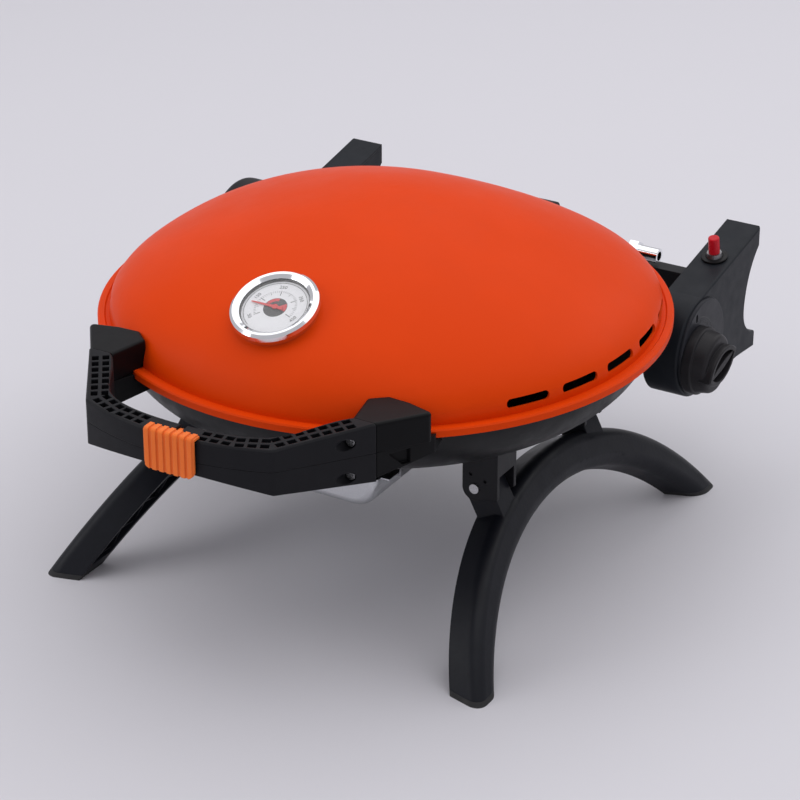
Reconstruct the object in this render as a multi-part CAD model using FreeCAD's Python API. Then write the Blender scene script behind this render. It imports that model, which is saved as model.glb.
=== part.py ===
import FreeCAD, Part
import math
import os

# Portable tabletop gas grill with a hinged dome lid, folding arch legs, a split carrying handle,
# a rotary gas knob, a push igniter, a lid thermometer and a slide-out grease tray.
# Millimetres. X is left to right seen from the handle, Y runs from the handle to the lid hinge, Z is up.
# The model is laid out about the vertical axis of the round lid and shifted on export so that the
# origin is the middle of the footprint on the table.

V = FreeCAD.Vector
os.makedirs("parts", exist_ok=True)

# ---------------------------------------------------------------- driving dimensions
FRAME_X = 18.0  # shift of the lid axis from the middle of the footprint
FRAME_Y = 20.0
TABLE_Z = 5.0  # height of the table in this layout
FIT = 0.05  # radial running clearance of a pin in its bore
GAP = 0.4  # clearance between neighbouring pieces that move apart

LID_R = 255.0  # outer radius of the lid flange
FLANGE_W = 11.0  # width of the flat band around the dome
LID_T = 2.2  # sheet thickness of the lid
LIP_Z = 230.7  # lower edge of the lid lip
FLANGE_Z = 236.3  # top of the flange band
BEAD_H = 1.2  # raised bead along the flange
DOME_H = 102.0  # height of the dome over the flange
DOME_SHIFT = 22.0  # how far the crown sits behind the lid axis
DOME_SIDE = (0.545, -0.58)  # fullness of the dome towards the sides
DOME_FRONT = (0.43, -0.12)  # fullness towards the handle
DOME_REAR = (0.17, -0.335)  # fullness towards the hinge
DOME_SQUARE = (0.12, 0.33)  # squareness of the front and rear shoulders

VENT_COUNT = 5
VENT_LEN = 41.0
VENT_H = 8.0
VENT_Z = 246.0
VENT_MID = -4.6  # bearing of the middle vent, degrees from +X
VENT_STEP = 13.0

BOWL_R = 240.0  # outer radius of the bowl wall under the lid
BOWL_BOTTOM_R = 80.0
BOWL_BOTTOM_Z = 150.0
BOWL_TOP_Z = 233.8
BOWL_T = 2.6
BOWL_BEAD = 3.0

PIVOT_Y = 272.0  # lid hinge pin
PIVOT_Z = 232.0
PIN_R = 3.0

ARM_X0 = 188.6  # inner face of a rear arm
ARM_W = 34.6
ARM_WALL = 3.0
ARM_EDGE_R = 2.5
BOSS_Y = 184.0
BOSS_Z = 172.0
BOSS_R = 48.0
ARM_REAR_Y = 311.0
ARM_TOP_Z = 243.5

KNOB_Y = 168.0
KNOB_Z = 166.0
KNOB_R = 31.5
KNOB_SKIRT = 9.0
KNOB_DEPTH = 28.0
GRIP_H = 6.0  # how far the almond grip stands over the knob's face
GRIP_HALF_W = 15.5
GRIP_TURN = -76.0
SHAFT_R = 4.0

POD_R = 53.0
POD_Y = 198.0
POD_Z = 172.0
POD_DEPTH = 68.0

IGN_X = 205.5
IGN_Y = 247.5
IGN_TILT = 10.6
BUTTON_R = 5.2
BUTTON_TRAVEL = 5.0
RING_R = 12.2

THERMO_Y = -178.0
THERMO_TILT = 24.5
THERMO_R = 39.0

HANDLE_END_Y = -252.0
HANDLE_OUT_X = 140.0
HANDLE_IN_X = 117.0
KINK_X = 90.0
KINK_Y = -327.0
BAR_Y = -345.0
BAR_IN_Y = -323.0
HANDLE_TOP = 258.0
HANDLE_RISE = 4.0  # how far the arm ends stand over the bar
HANDLE_DROP = 8.0  # how far they hang below it
HANDLE_SEAM = 238.5
SEAM_DROP = 2.9
HANDLE_BOTTOM = 218.0
HANDLE_WAIST = 228.0
HANDLE_EDGE = 1.6  # softening of the upper edges
SCREW_X = 125.0  # where the screw bores enter the outer faces of the handle arms
SCREW_UP_Z = 248.5
SCREW_LOW_Z = 218.5
SCREW_BORE_R = 5.0
CAP_TIP = (170.0, -210.0)
CAP_EDGE_R = 3.0
JOINT_GROOVE = 1.2
POCKET_LEN = 7.4
POCKET_W = 5.8
POCKET_PITCH = 10.2
CLIP_X = 5.0
CLIP_HALF = 24.0
CLIP_RIBS = 7
CLIP_PIN_Y = -327.0
CLIP_PIN_Z = 251.5
CLIP_PIN_R = 1.5

LEG_PIVOT_X = 143.0
LEG_PIVOT_Z = 131.0
LEG_FOOT_X = 207.5
LEG_OUT_R = 266.0  # outer curve of the arch
LEG_OUT_TOP = 131.0  # crown of the outer curve over the foot line, along the leg
LEG_IN_R = 245.5
LEG_IN_TOP = 95.0
LEG_MID_Y = 6.0
LEG_T = 30.0
LEG_WALL = 4.0
LEG_EDGE_R = 11.0
LEG_PIN_R = 4.5
BLOCK_OFF = 82.0  # from the middle of a leg to the middle of each of its hinge blocks
BLOCK_W = 34.0
BLOCK_X = (131.0, 165.0)
CHEEK_T = 4.0
FOOT_H = 4.0

TRAY_HALF = 78.0
TRAY_FRONT = -150.0
TRAY_REAR = 56.0
TRAY_Z0 = 116.0
TRAY_Z1 = 145.6
TRAY_T = 1.2
TRAY_CORNER = 24.0

GRATE_R = 224.0
GRATE_Z = 212.0
GRATE_T = 9.0
BURNER_R = 110.0
BURNER_TUBE = 8.0
BURNER_Z = 184.0


# ---------------------------------------------------------------- helpers
def save(name, shape):
    out = shape.copy()
    out.translate(V(FRAME_X, FRAME_Y, -TABLE_Z))
    out.exportStep("parts/" + name + ".step")


def box(x0, x1, y0, y1, z0, z1):
    return Part.makeBox(x1 - x0, y1 - y0, z1 - z0, V(x0, y0, z0))


def rod(r, start, end):
    a = V(*start)
    b = V(*end)
    return Part.makeCylinder(r, (b - a).Length, a, b - a)


def prism(points, direction):
    wire = Part.makePolygon([V(*p) for p in points] + [V(*points[0])])
    return Part.Face(wire).extrude(V(*direction))


def prism_x(points, x0, x1):
    return prism([(x0, y, z) for y, z in points], (x1 - x0, 0, 0))


def prism_y(points, y0, y1):
    return prism([(x, y0, z) for x, z in points], (0, y1 - y0, 0))


def prism_z(points, z0, z1):
    return prism([(x, y, z0) for x, y in points], (0, 0, z1 - z0))


def turned(points):
    wire = Part.makePolygon([V(r, 0, z) for r, z in points + [points[0]]])
    return Part.Face(wire).revolve(V(0, 0, 0), V(0, 0, 1), 360)


def fuse_all(shapes):
    return shapes[0].multiFuse(shapes[1:]).removeSplitter()


def mirrored(shape):
    return shape.mirror(V(0, 0, 0), V(1, 0, 0))


def edges_along(shape, axis):
    found = []
    for edge in shape.Edges:
        if isinstance(edge.Curve, Part.Line):
            if abs(edge.tangentAt(edge.FirstParameter).dot(axis)) > 0.999:
                found.append(edge)
    return found


def round_along(shape, axis, r):
    return shape.makeFillet(r, edges_along(shape, axis))


def hexagon(flat, z0, z1):
    r = flat / math.sqrt(3)
    pts = [(r * math.cos(math.radians(60 * k)), r * math.sin(math.radians(60 * k))) for k in range(6)]
    return prism_z(pts, z0, z1)


def swept(edges, r):
    path = Part.Wire(edges)
    first = path.Edges[0]
    start = first.valueAt(first.FirstParameter)
    ring = Part.makeCircle(r, start, first.tangentAt(first.FirstParameter))
    return path.makePipeShell([Part.Wire([ring])], True, True)


def bent_tube(points, r, bend):
    pts = [V(*p) for p in points]
    edges = []
    here = pts[0]
    for a, b, c in zip(pts, pts[1:], pts[2:]):
        u = (a - b).normalize()
        w = (c - b).normalize()
        half = u.getAngle(w) / 2
        back = bend / math.tan(half)
        middle = (u + w).normalize() * (bend / math.sin(half) - bend)
        edges.append(Part.makeLine(here, b + u * back))
        edges.append(Part.Arc(b + u * back, b + middle, b + w * back).toShape())
        here = b + w * back
    edges.append(Part.makeLine(here, pts[-1]))
    return swept(edges, r)


def spline_tube(points, r):
    curve = Part.BSplineCurve()
    curve.interpolate(points)
    return swept([curve.toShape()], r)


# ---------------------------------------------------------------- lid dome
def dome_section(s, inset):
    t = 1 - s * s
    shrink = (LID_R - FLANGE_W - inset) / (LID_R - FLANGE_W)
    radius = (LID_R - FLANGE_W) * s * shrink
    side = radius * (1 + DOME_SIDE[0] * t + DOME_SIDE[1] * t * t)
    front = radius * (1 + DOME_FRONT[0] * t + DOME_FRONT[1] * t * t)
    rear = radius * (1 + DOME_REAR[0] * t + DOME_REAR[1] * t * t)
    bulge = 4 * t * (1 - t)
    front_power = 2 / (2 + DOME_SQUARE[0] * bulge)
    rear_power = 2 / (2 + DOME_SQUARE[1] * bulge)
    z = FLANGE_Z + (DOME_H - inset) * t
    mid = DOME_SHIFT * t * t
    pts = []
    for k in range(40):
        a = 2 * math.pi * k / 40
        c = math.cos(a)
        d = math.sin(a)
        reach = rear if d >= 0 else front
        power = rear_power if d >= 0 else front_power
        x = side * math.copysign(abs(c) ** power, c)
        y = mid + reach * math.copysign(abs(d) ** power, d)
        pts.append(V(x, y, z))
    curve = Part.BSplineCurve()
    curve.interpolate(Points=pts, PeriodicFlag=True)
    return Part.Wire([curve.toShape()])


def dome_solid(inset):
    steps = [1.0, 0.94, 0.88, 0.80, 0.71, 0.62, 0.53, 0.44, 0.35, 0.26, 0.17, 0.09, 0.03]
    foot = dome_section(1.0, inset)
    foot.translate(V(0, 0, -LID_T * 0.7))
    return Part.makeLoft([foot] + [dome_section(s, inset) for s in steps], True, False)


def stadium_cutter(bearing):
    half = (VENT_LEN - VENT_H) / 2
    r0 = 200.0
    bar = box(r0, LID_R + 10, -half, half, VENT_Z - VENT_H / 2, VENT_Z + VENT_H / 2)
    ends = [rod(VENT_H / 2, (r0, y, VENT_Z), (LID_R + 10, y, VENT_Z)) for y in (-half, half)]
    cutter = fuse_all([bar] + ends)
    cutter.rotate(V(0, 0, 0), V(0, 0, 1), bearing)
    return cutter


dome_r = LID_R - FLANGE_W
dome_outer = dome_solid(0.0)
dome_inner = dome_solid(LID_T)
flange = turned([
    (dome_r - LID_T - 0.6, FLANGE_Z - LID_T),
    (LID_R - LID_T, FLANGE_Z - LID_T),
    (LID_R - LID_T, LIP_Z),
    (LID_R, LIP_Z),
    (LID_R, FLANGE_Z),
    (LID_R - BEAD_H, FLANGE_Z + BEAD_H),
    (LID_R - 5 * BEAD_H, FLANGE_Z + BEAD_H),
    (LID_R - 6 * BEAD_H, FLANGE_Z),
    (dome_r - LID_T - 0.6, FLANGE_Z),
])
lid_filled = fuse_all([dome_outer, Part.makeCylinder(LID_R, FLANGE_Z - LIP_Z + BEAD_H, V(0, 0, LIP_Z))])
lid = dome_outer.cut(dome_inner).fuse(flange)
vents = []
for i in range(VENT_COUNT):
    bearing = VENT_MID + (i - (VENT_COUNT - 1) / 2) * VENT_STEP
    vents.append(stadium_cutter(bearing))
    vents.append(stadium_cutter(180 - bearing))
lid = lid.cut(vents)


def crown_height(y):
    probe = Part.makeLine(V(0, y, FLANGE_Z - 1), V(0, y, FLANGE_Z + DOME_H + 20))
    return probe.common(dome_outer).BoundBox.ZMax


thermo_z = crown_height(THERMO_Y)


def place_thermo(shape):
    out = shape.copy()
    out.rotate(V(0, 0, 0), V(1, 0, 0), THERMO_TILT)
    out.translate(V(0, THERMO_Y, thermo_z))
    return out


stem_r = 3.2
stem_hole = place_thermo(Part.makeCylinder(stem_r + 1.2, 40, V(0, 0, -30)))
lid = lid.cut(stem_hole)
save("lid_shell", lid)

# ---------------------------------------------------------------- thermometer
bezel = turned([
    (THERMO_R - 6, -8),
    (THERMO_R - 3, -8),
    (THERMO_R - 2.5, 2),
    (THERMO_R, 5),
    (THERMO_R - 0.6, 8.6),
    (THERMO_R - 3, 10.6),
    (THERMO_R - 5.4, 10.4),
    (THERMO_R - 8.6, 8.2),
    (THERMO_R - 8.6, 7.4),
    (THERMO_R - 6, 7.4),
])
bezel = place_thermo(bezel).cut(lid_filled)
save("thermo_bezel", bezel)
cup = turned([
    (0, 2.2), (THERMO_R - 6, 2.2), (THERMO_R - 6, 7.4), (THERMO_R - 9.4, 7.4), (THERMO_R - 9.4, 4.4), (0, 4.4),
])
pedestal = turned([(0, -8), (THERMO_R - 14, -8), (THERMO_R - 14, 2.2), (0, 2.2)])
cup = place_thermo(cup.fuse(pedestal).cut(Part.makeCylinder(stem_r, 30, V(0, 0, -9))))
save("thermo_housing", cup.cut(lid_filled))
dial = Part.makeCylinder(THERMO_R - 9.6, 0.8, V(0, 0, 4.4)).cut(Part.makeCylinder(1.2, 4, V(0, 0, 3)))
save("thermo_dial", place_thermo(dial))
glass = Part.makeCylinder(THERMO_R - 8.7, 0.9, V(0, 0, 7.45))
save("thermo_glass", place_thermo(glass))
hub = Part.makeCylinder(2.6, 0.8, V(0, 0, 6.0)).fuse(Part.makeCylinder(1.2 - FIT, 2.0, V(0, 0, 4.4)))
pointer = prism_z([(-23, -0.5), (-23, 0.5), (7, 1.6), (7, -1.6)], 6.0, 6.5)
save("thermo_needle", place_thermo(hub.fuse(pointer).removeSplitter()))
stem = Part.makeCylinder(stem_r - 0.02, 46.4, V(0, 0, -42)).cut(Part.makeCylinder(1.2, 10, V(0, 0, 3)))
save("thermo_stem", place_thermo(stem))
nut = hexagon(13, -10.5, -5.0).cut(Part.makeCylinder(stem_r, 20, V(0, 0, -15)))
save("thermo_nut", place_thermo(nut).cut(lid_filled.cut(dome_inner)))


# ---------------------------------------------------------------- bowl
def bowl_curve(inset):
    pts = []
    for k in range(9):
        t = (k / 8) ** 1.6
        r = BOWL_BOTTOM_R + (BOWL_R - BOWL_BOTTOM_R) * (1 - (1 - t) ** 2.1) ** (1 / 2.1)
        z = BOWL_BOTTOM_Z + (BOWL_TOP_Z - 5 - BOWL_BOTTOM_Z) * t
        pts.append(V(r * (BOWL_R - inset) / BOWL_R, 0, z + inset * (1 - t)))
    curve = Part.BSplineCurve()
    curve.interpolate(pts)
    return curve.toShape(), pts[0], pts[-1]


def bowl_face(inset, top):
    curve, low, high = bowl_curve(inset)
    start = V(0, 0, low.z)
    rim = V(high.x, 0, top)
    edges = [
        Part.makeLine(start, low),
        curve,
        Part.makeLine(high, rim),
        Part.makeLine(rim, V(0, 0, top)),
        Part.makeLine(V(0, 0, top), start),
    ]
    return Part.Face(Part.Wire(edges)).revolve(V(0, 0, 0), V(0, 0, 1), 360)


bowl_outer = bowl_face(0.0, BOWL_TOP_Z)
bowl_inner = bowl_face(BOWL_T, BOWL_TOP_Z + 1)
drain_r = 10.0
spout = Part.makeCylinder(drain_r + 2.5, 6, V(0, 0, BOWL_BOTTOM_Z - 3))
rim_bead = turned([
    (BOWL_R - BOWL_T, BOWL_TOP_Z - 11),
    (BOWL_R, BOWL_TOP_Z - 11),
    (BOWL_R + BOWL_BEAD, BOWL_TOP_Z - 8),
    (BOWL_R + BOWL_BEAD, BOWL_TOP_Z),
    (BOWL_R - BOWL_T, BOWL_TOP_Z),
])
bowl = fuse_all([bowl_outer.cut(bowl_inner), rim_bead, spout])
lugs = []
for k in range(6):
    lug = box(GRATE_R - 8, BOWL_R - 1, -6, 6, GRATE_Z - 8, GRATE_Z)
    lug.rotate(V(0, 0, 0), V(0, 0, 1), 30 + 60 * k)
    lugs.append(lug.common(bowl_outer))
bowl = fuse_all([bowl] + lugs)
bowl = bowl.cut(Part.makeCylinder(drain_r, 20, V(0, 0, BOWL_BOTTOM_Z - 10)))

feed_z = 196.0
feed_bearing = math.degrees(math.atan2(KNOB_Y, IGN_X - 5))
feed_r = 6.0
feed_unit = V(math.cos(math.radians(feed_bearing)), math.sin(math.radians(feed_bearing)), 0)
valve_top = V(IGN_X - 5, KNOB_Y, feed_z)
burner_join = feed_unit * BURNER_R + V(0, 0, feed_z)
bowl = bowl.cut(rod(feed_r + 1, tuple(feed_unit * 180 + V(0, 0, feed_z)), tuple(feed_unit * 250 + V(0, 0, feed_z))))
lead_bearing = 48.0
lead_unit = V(math.cos(math.radians(lead_bearing)), math.sin(math.radians(lead_bearing)), 0)
lead_z = 202.0
lead_r = 1.3
bowl = bowl.cut(rod(lead_r + 0.6, tuple(lead_unit * 180 + V(0, 0, lead_z)), tuple(lead_unit * 250 + V(0, 0, lead_z))))
save("bowl", bowl)

# ---------------------------------------------------------------- cooking grates
bar_pitch = 15.0
slot_w = 8.5
half_disc = Part.makeCylinder(GRATE_R, GRATE_T, V(0, 0, GRATE_Z)).cut(box(-300, 1.5, -300, 300, 0, 300))
slots = []
for k in range(14):
    x = 9.0 + bar_pitch * k
    reach = math.sqrt((GRATE_R - 9) ** 2 - (x + slot_w) ** 2)
    for y0, y1 in ((-reach, -4.0), (4.0, reach)):
        if y1 - y0 > 12:
            slots.append(box(x, x + slot_w, y0, y1, GRATE_Z - 1, GRATE_Z + GRATE_T + 1))
grate = half_disc.cut(slots)
save("grate_right", grate)
save("grate_left", mirrored(grate))

# ---------------------------------------------------------------- burner, feed tube, electrode
ring = Part.makeTorus(BURNER_R, BURNER_TUBE, V(0, 0, BURNER_Z))
ring_void = Part.makeTorus(BURNER_R, BURNER_TUBE - 1.4, V(0, 0, BURNER_Z))
ports = []
for k in range(24):
    a = math.radians(7.5 + 15 * k)
    out = V(math.cos(a), math.sin(a), 0)
    mid = out * BURNER_R + V(0, 0, BURNER_Z)
    ports.append(rod(1.3, tuple(mid), tuple(mid + (out + V(0, 0, 1.0)) * (BURNER_TUBE + 1))))
posts = []
for k in range(3):
    a = math.radians(100 + 120 * k)
    x = BURNER_R * math.cos(a)
    y = BURNER_R * math.sin(a)
    posts.append(rod(4.0, (x, y, BOWL_BOTTOM_Z), (x, y, BURNER_Z)))
burner = fuse_all([ring] + posts).common(bowl_inner).cut([ring_void] + ports)
feed_bend = 9.0
feed = bent_tube([
    tuple(feed_unit * BURNER_R + V(0, 0, BURNER_Z)),
    tuple(burner_join),
    tuple(valve_top),
    (valve_top.x, valve_top.y, KNOB_Z + 10),
], feed_r, feed_bend)
save("burner", burner)
save("burner_feed_tube", feed.cut(ring))
electrode_in = lead_unit * (BURNER_R + 30) + V(0, 0, lead_z)
electrode = rod(3.4, tuple(lead_unit * (BURNER_R + 8) + V(0, 0, lead_z)), tuple(electrode_in))
spark = rod(0.9, tuple(lead_unit * (BURNER_R + 10) + V(0, 0, lead_z)), tuple(lead_unit * (BURNER_R - 3) + V(0, 0, lead_z)))
spark_drop = rod(0.9, tuple(lead_unit * (BURNER_R - 3) + V(0, 0, lead_z)), tuple(lead_unit * (BURNER_R - 3) + V(0, 0, BURNER_Z + 10)))
electrode_foot = rod(1.6, tuple(lead_unit * (BURNER_R + 19) + V(0, 0, lead_z)), tuple(lead_unit * (BURNER_R + 19) + V(0, 0, BOWL_BOTTOM_Z)))
save("electrode", fuse_all([electrode, spark, spark_drop, electrode_foot]).common(bowl_inner))

# ---------------------------------------------------------------- rear arms
arm_x1 = ARM_X0 + ARM_W


def arm_face(x, inset):
    top_y = BOSS_Y
    arc = Part.Arc(
        V(x, BOSS_Y, BOSS_Z - BOSS_R + inset),
        V(x, BOSS_Y - BOSS_R + inset, BOSS_Z),
        V(x, top_y, BOSS_Z + BOSS_R - inset),
    ).toShape()
    rear = ARM_REAR_Y - inset
    waist = Part.BSplineCurve()
    waist.interpolate([
        V(x, rear, ARM_TOP_Z - 19.5),
        V(x, ARM_REAR_Y - 15 - inset, BOSS_Z + 36),
        V(x, ARM_REAR_Y - 26 - inset, BOSS_Z + 8),
        V(x, ARM_REAR_Y - 25 - inset, BOSS_Z - 16),
        V(x, ARM_REAR_Y - 14 - inset, BOSS_Z - 29),
        V(x, rear, BOSS_Z - 36),
    ])
    corners = [
        V(x, BOSS_Y, BOSS_Z + BOSS_R - inset),
        V(x, rear, ARM_TOP_Z - inset),
        V(x, rear, ARM_TOP_Z - 19.5),
    ]
    low = [
        V(x, rear, BOSS_Z - 36),
        V(x, rear, BOSS_Z - 52 + inset),
        V(x, ARM_REAR_Y - 39, BOSS_Z - BOSS_R + inset),
        V(x, BOSS_Y, BOSS_Z - BOSS_R + inset),
    ]
    edges = [arc]
    edges += [Part.makeLine(corners[i], corners[i + 1]) for i in range(2)]
    edges += [waist.toShape()]
    edges += [Part.makeLine(low[i], low[i + 1]) for i in range(3)]
    return Part.Face(Part.Wire(edges))


arm_solid = arm_face(ARM_X0, 0.0).extrude(V(ARM_W, 0, 0))
arm_solid = arm_solid.makeFillet(ARM_EDGE_R, [e for e in arm_solid.Edges if e.BoundBox.XMin > arm_x1 - 0.1])
arm_cavity = arm_face(ARM_X0 - 1, ARM_WALL).extrude(V(ARM_W - ARM_WALL + 1, 0, 0))
rib_x0 = ARM_X0 + ARM_WALL + 4
arm_rib = box(rib_x0, arm_x1 - 1, ARM_REAR_Y - 52, ARM_REAR_Y - 49, BOSS_Z - BOSS_R + 1, ARM_TOP_Z - 7)
arm_shell = arm_solid.cut(arm_cavity).fuse(arm_rib.common(arm_solid)).removeSplitter()
arm_cover = arm_face(ARM_X0, ARM_WALL).extrude(V(ARM_WALL, 0, 0))
save("arm_cover_left", mirrored(arm_cover))

# push igniter on the sloping top of the right arm
slope_z = BOSS_Z + BOSS_R
slope = math.atan2(ARM_TOP_Z - slope_z, ARM_REAR_Y - BOSS_Y)
ign_z = slope_z + (IGN_Y - BOSS_Y) * math.tan(slope)


def place_igniter(shape):
    out = shape.copy()
    out.rotate(V(0, 0, 0), V(1, 0, 0), math.degrees(slope))
    out.translate(V(IGN_X, IGN_Y, ign_z))
    return out


ign_hole_r = 8.0
arm_right = arm_shell.cut(place_igniter(Part.makeCylinder(ign_hole_r, 12, V(0, 0, -8))))
arm_right = arm_right.cut(rod(SHAFT_R + 2, (ARM_X0, KNOB_Y, KNOB_Z), (arm_x1 + 5, KNOB_Y, KNOB_Z)))
save("arm_right", arm_right)
save("arm_left", mirrored(arm_shell))

ring_h = 2.2
ign_ring = Part.makeCylinder(RING_R, ring_h).cut(Part.makeCylinder(ign_hole_r, 6, V(0, 0, -1)))
save("igniter_ring", place_igniter(ign_ring))
cone = Part.makeCone(ign_hole_r - 0.1, BUTTON_R + 1.6, 5.0, V(0, 0, 1.0))
barrel = Part.makeCylinder(ign_hole_r - 0.1, 23.0, V(0, 0, -22)).cut(Part.makeCylinder(BUTTON_R + 1.0, 40, V(0, 0, -18)))
collar = cone.fuse(barrel).removeSplitter().cut(Part.makeCylinder(BUTTON_R + FIT, 40, V(0, 0, -18)))
save("igniter_collar", place_igniter(collar))
button_top = 22.0
button_low = -6.0
button = Part.makeCylinder(BUTTON_R, button_top - button_low, V(0, 0, button_low))
button = button.makeFillet(1.2, [e for e in button.Edges if e.BoundBox.ZMin > button_top - 0.1])
save("igniter_button", place_igniter(button))
coil_r = 3.8
wire_r = 0.5
coil_h = 10.4
coil_turns = 4
coil_pts = []
for k in range(12 * coil_turns + 1):
    a = math.radians(30 * k)
    coil_pts.append(V(coil_r * math.cos(a), coil_r * math.sin(a), coil_h * k / (12 * coil_turns)))
coil = spline_tube(coil_pts, wire_r)
coil.translate(V(0, 0, button_low - wire_r - coil_h - 0.1))
save("igniter_spring", place_igniter(coil))

# ignition lead from the igniter through the bowl wall to the electrode
lead = spline_tube([
    V(IGN_X, IGN_Y + 4.4, ign_z - 21.5),
    V(IGN_X, IGN_Y + 4.0, ign_z - 26),
    V(IGN_X - 2, IGN_Y - 20, ign_z - 30),
    lead_unit * 272 + V(0, 0, lead_z),
    lead_unit * 246 + V(0, 0, lead_z),
    lead_unit * 200 + V(0, 0, lead_z),
    electrode_in,
], lead_r)
save("ignition_lead", lead)

# ---------------------------------------------------------------- gas valve, knob, supply pipe
valve_x0 = 190.0
valve_x1 = 213.0
valve = box(valve_x0, valve_x1, KNOB_Y - 10, KNOB_Y + 10, KNOB_Z - 9, KNOB_Z + 10)
valve = valve.fuse(rod(14.0, (valve_x1, KNOB_Y, KNOB_Z), (arm_x1 - ARM_WALL, KNOB_Y, KNOB_Z)))
valve = valve.cut(rod(SHAFT_R + FIT, (valve_x0 + 4, KNOB_Y, KNOB_Z), (arm_x1, KNOB_Y, KNOB_Z)))
save("gas_valve", valve.removeSplitter())

disc_t = 3.3
plate = rod(BOSS_R - ARM_EDGE_R, (arm_x1, BOSS_Y, BOSS_Z), (arm_x1 + disc_t, BOSS_Y, BOSS_Z))
plate = plate.makeChamfer(1.2, [e for e in plate.Edges if e.BoundBox.XMin > arm_x1 + disc_t - 0.1])
plate = plate.cut(rod(SHAFT_R + 2, (arm_x1 - 1, KNOB_Y, KNOB_Z), (arm_x1 + 9, KNOB_Y, KNOB_Z)))
pilot = box(arm_x1 + 1.0, arm_x1 + 9, KNOB_Y - 1.8, KNOB_Y + 1.8, KNOB_Z + 36.0, KNOB_Z + 44.0)
pilot = round_along(pilot, V(1, 0, 0), 1.5)
save("knob_plate", plate.cut(pilot))

knob_x0 = arm_x1 + disc_t + GAP
knob_x1 = knob_x0 + KNOB_DEPTH
knob_face_x = knob_x1 - GRIP_H
skirt = rod(KNOB_R, (knob_x0, KNOB_Y, KNOB_Z), (knob_x0 + KNOB_SKIRT, KNOB_Y, KNOB_Z))
skirt = skirt.makeFillet(1.5, [e for e in skirt.Edges if e.BoundBox.XMin > knob_x0 + KNOB_SKIRT - 0.1])
cap = Part.makeCone(KNOB_R - 2.2, KNOB_R - 4.6, knob_face_x - knob_x0 - KNOB_SKIRT, V(knob_x0 + KNOB_SKIRT, KNOB_Y, KNOB_Z), V(1, 0, 0))
cap = cap.makeFillet(4.5, [e for e in cap.Edges if e.BoundBox.XMin > knob_face_x - 0.1])


def lens(half_w, half_l, x0, x1):
    # almond outline of two arcs that meet at points above and below the knob's axis
    r = (half_w ** 2 + half_l ** 2) / (2 * half_w)
    left = rod(r, (x0, KNOB_Y - r + half_w, KNOB_Z), (x1, KNOB_Y - r + half_w, KNOB_Z))
    right = rod(r, (x0, KNOB_Y + r - half_w, KNOB_Z), (x1, KNOB_Y + r - half_w, KNOB_Z))
    return left.common(right)


grip = lens(GRIP_HALF_W, KNOB_R - 2.6, knob_face_x - 6, knob_x1)
grip = grip.makeFillet(1.6, [e for e in grip.Edges if e.BoundBox.XMin > knob_x1 - 0.1])
grip_void = lens(GRIP_HALF_W - 3.4, KNOB_R - 8.5, knob_face_x - 5, knob_x1 + 5)
ridge = lens(3.2, KNOB_R - 3.5, knob_face_x - 6, knob_x1 - 0.8)
knob = fuse_all([skirt, cap, grip]).cut(grip_void)
knob = fuse_all([knob, ridge])
knob.rotate(V(0, KNOB_Y, KNOB_Z), V(1, 0, 0), GRIP_TURN)
save("control_knob", knob)
shaft = rod(SHAFT_R, (valve_x0 + 6, KNOB_Y, KNOB_Z), (knob_x0, KNOB_Y, KNOB_Z))
save("knob_shaft", shaft)

pipe_r = 3.5
gas_x = 118.0
gas_y = 251.0
gas_z = 219.0
pipe_y = 231.0
pipe_x = arm_x1 - ARM_WALL - 12
pipe = bent_tube([
    (gas_x, gas_y, gas_z),
    (gas_x - 16, gas_y, gas_z),
    (gas_x - 16, pipe_y, gas_z),
    (gas_x - 16, pipe_y, KNOB_Z),
    (pipe_x, pipe_y, KNOB_Z),
    (pipe_x, KNOB_Y + 10, KNOB_Z),
], pipe_r, 7.0)
save("gas_pipe", pipe)
inlet_r = 7.0
inlet_len = 21.0
inlet = rod(inlet_r, (gas_x, gas_y, gas_z), (gas_x + 9 + inlet_len, gas_y, gas_z))
nut = hexagon(18.0, 0, 9)
nut.rotate(V(0, 0, 0), V(0, 1, 0), 90)
nut.translate(V(gas_x, gas_y, gas_z))
bore = rod(4.4, (gas_x + 6, gas_y, gas_z), (gas_x + 40, gas_y, gas_z))
save("gas_inlet", fuse_all([inlet, nut]).cut(bore))


def cover_hole(shape):
    # square opening in the inner cover around whatever passes through it
    x0 = ARM_X0 - 1
    x1 = ARM_X0 + ARM_WALL + 1
    room = shape.common(box(x0, x1, 0, 400, 100, 300)).BoundBox
    return box(x0, x1, room.YMin - 1, room.YMax + 1, room.ZMin - 1, room.ZMax + 1)


cover_holes = [cover_hole(shape) for shape in (feed, valve, pipe, lead)]
save("arm_cover_right", arm_cover.cut(cover_holes))

# ---------------------------------------------------------------- left pod
pod = rod(POD_R, (-arm_x1 - POD_DEPTH, POD_Y, POD_Z), (-arm_x1, POD_Y, POD_Z))
pod = pod.makeFillet(9.0, [e for e in pod.Edges if e.BoundBox.XMax < -arm_x1 - POD_DEPTH + 0.1])
pod_core = rod(POD_R - 3, (-arm_x1 - POD_DEPTH + 3, POD_Y, POD_Z), (-arm_x1, POD_Y, POD_Z))
pod_core = pod_core.makeFillet(6.0, [e for e in pod_core.Edges if e.BoundBox.XMax < -arm_x1 - POD_DEPTH + 3.1])
pod_groove = rod(POD_R + 1, (-arm_x1 - 9, POD_Y, POD_Z), (-arm_x1 - 7, POD_Y, POD_Z)).cut(
    rod(POD_R - 1.2, (-arm_x1 - 9, POD_Y, POD_Z), (-arm_x1 - 7, POD_Y, POD_Z))
)
save("side_pod", pod.cut(pod_core).cut(pod_groove))

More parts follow.
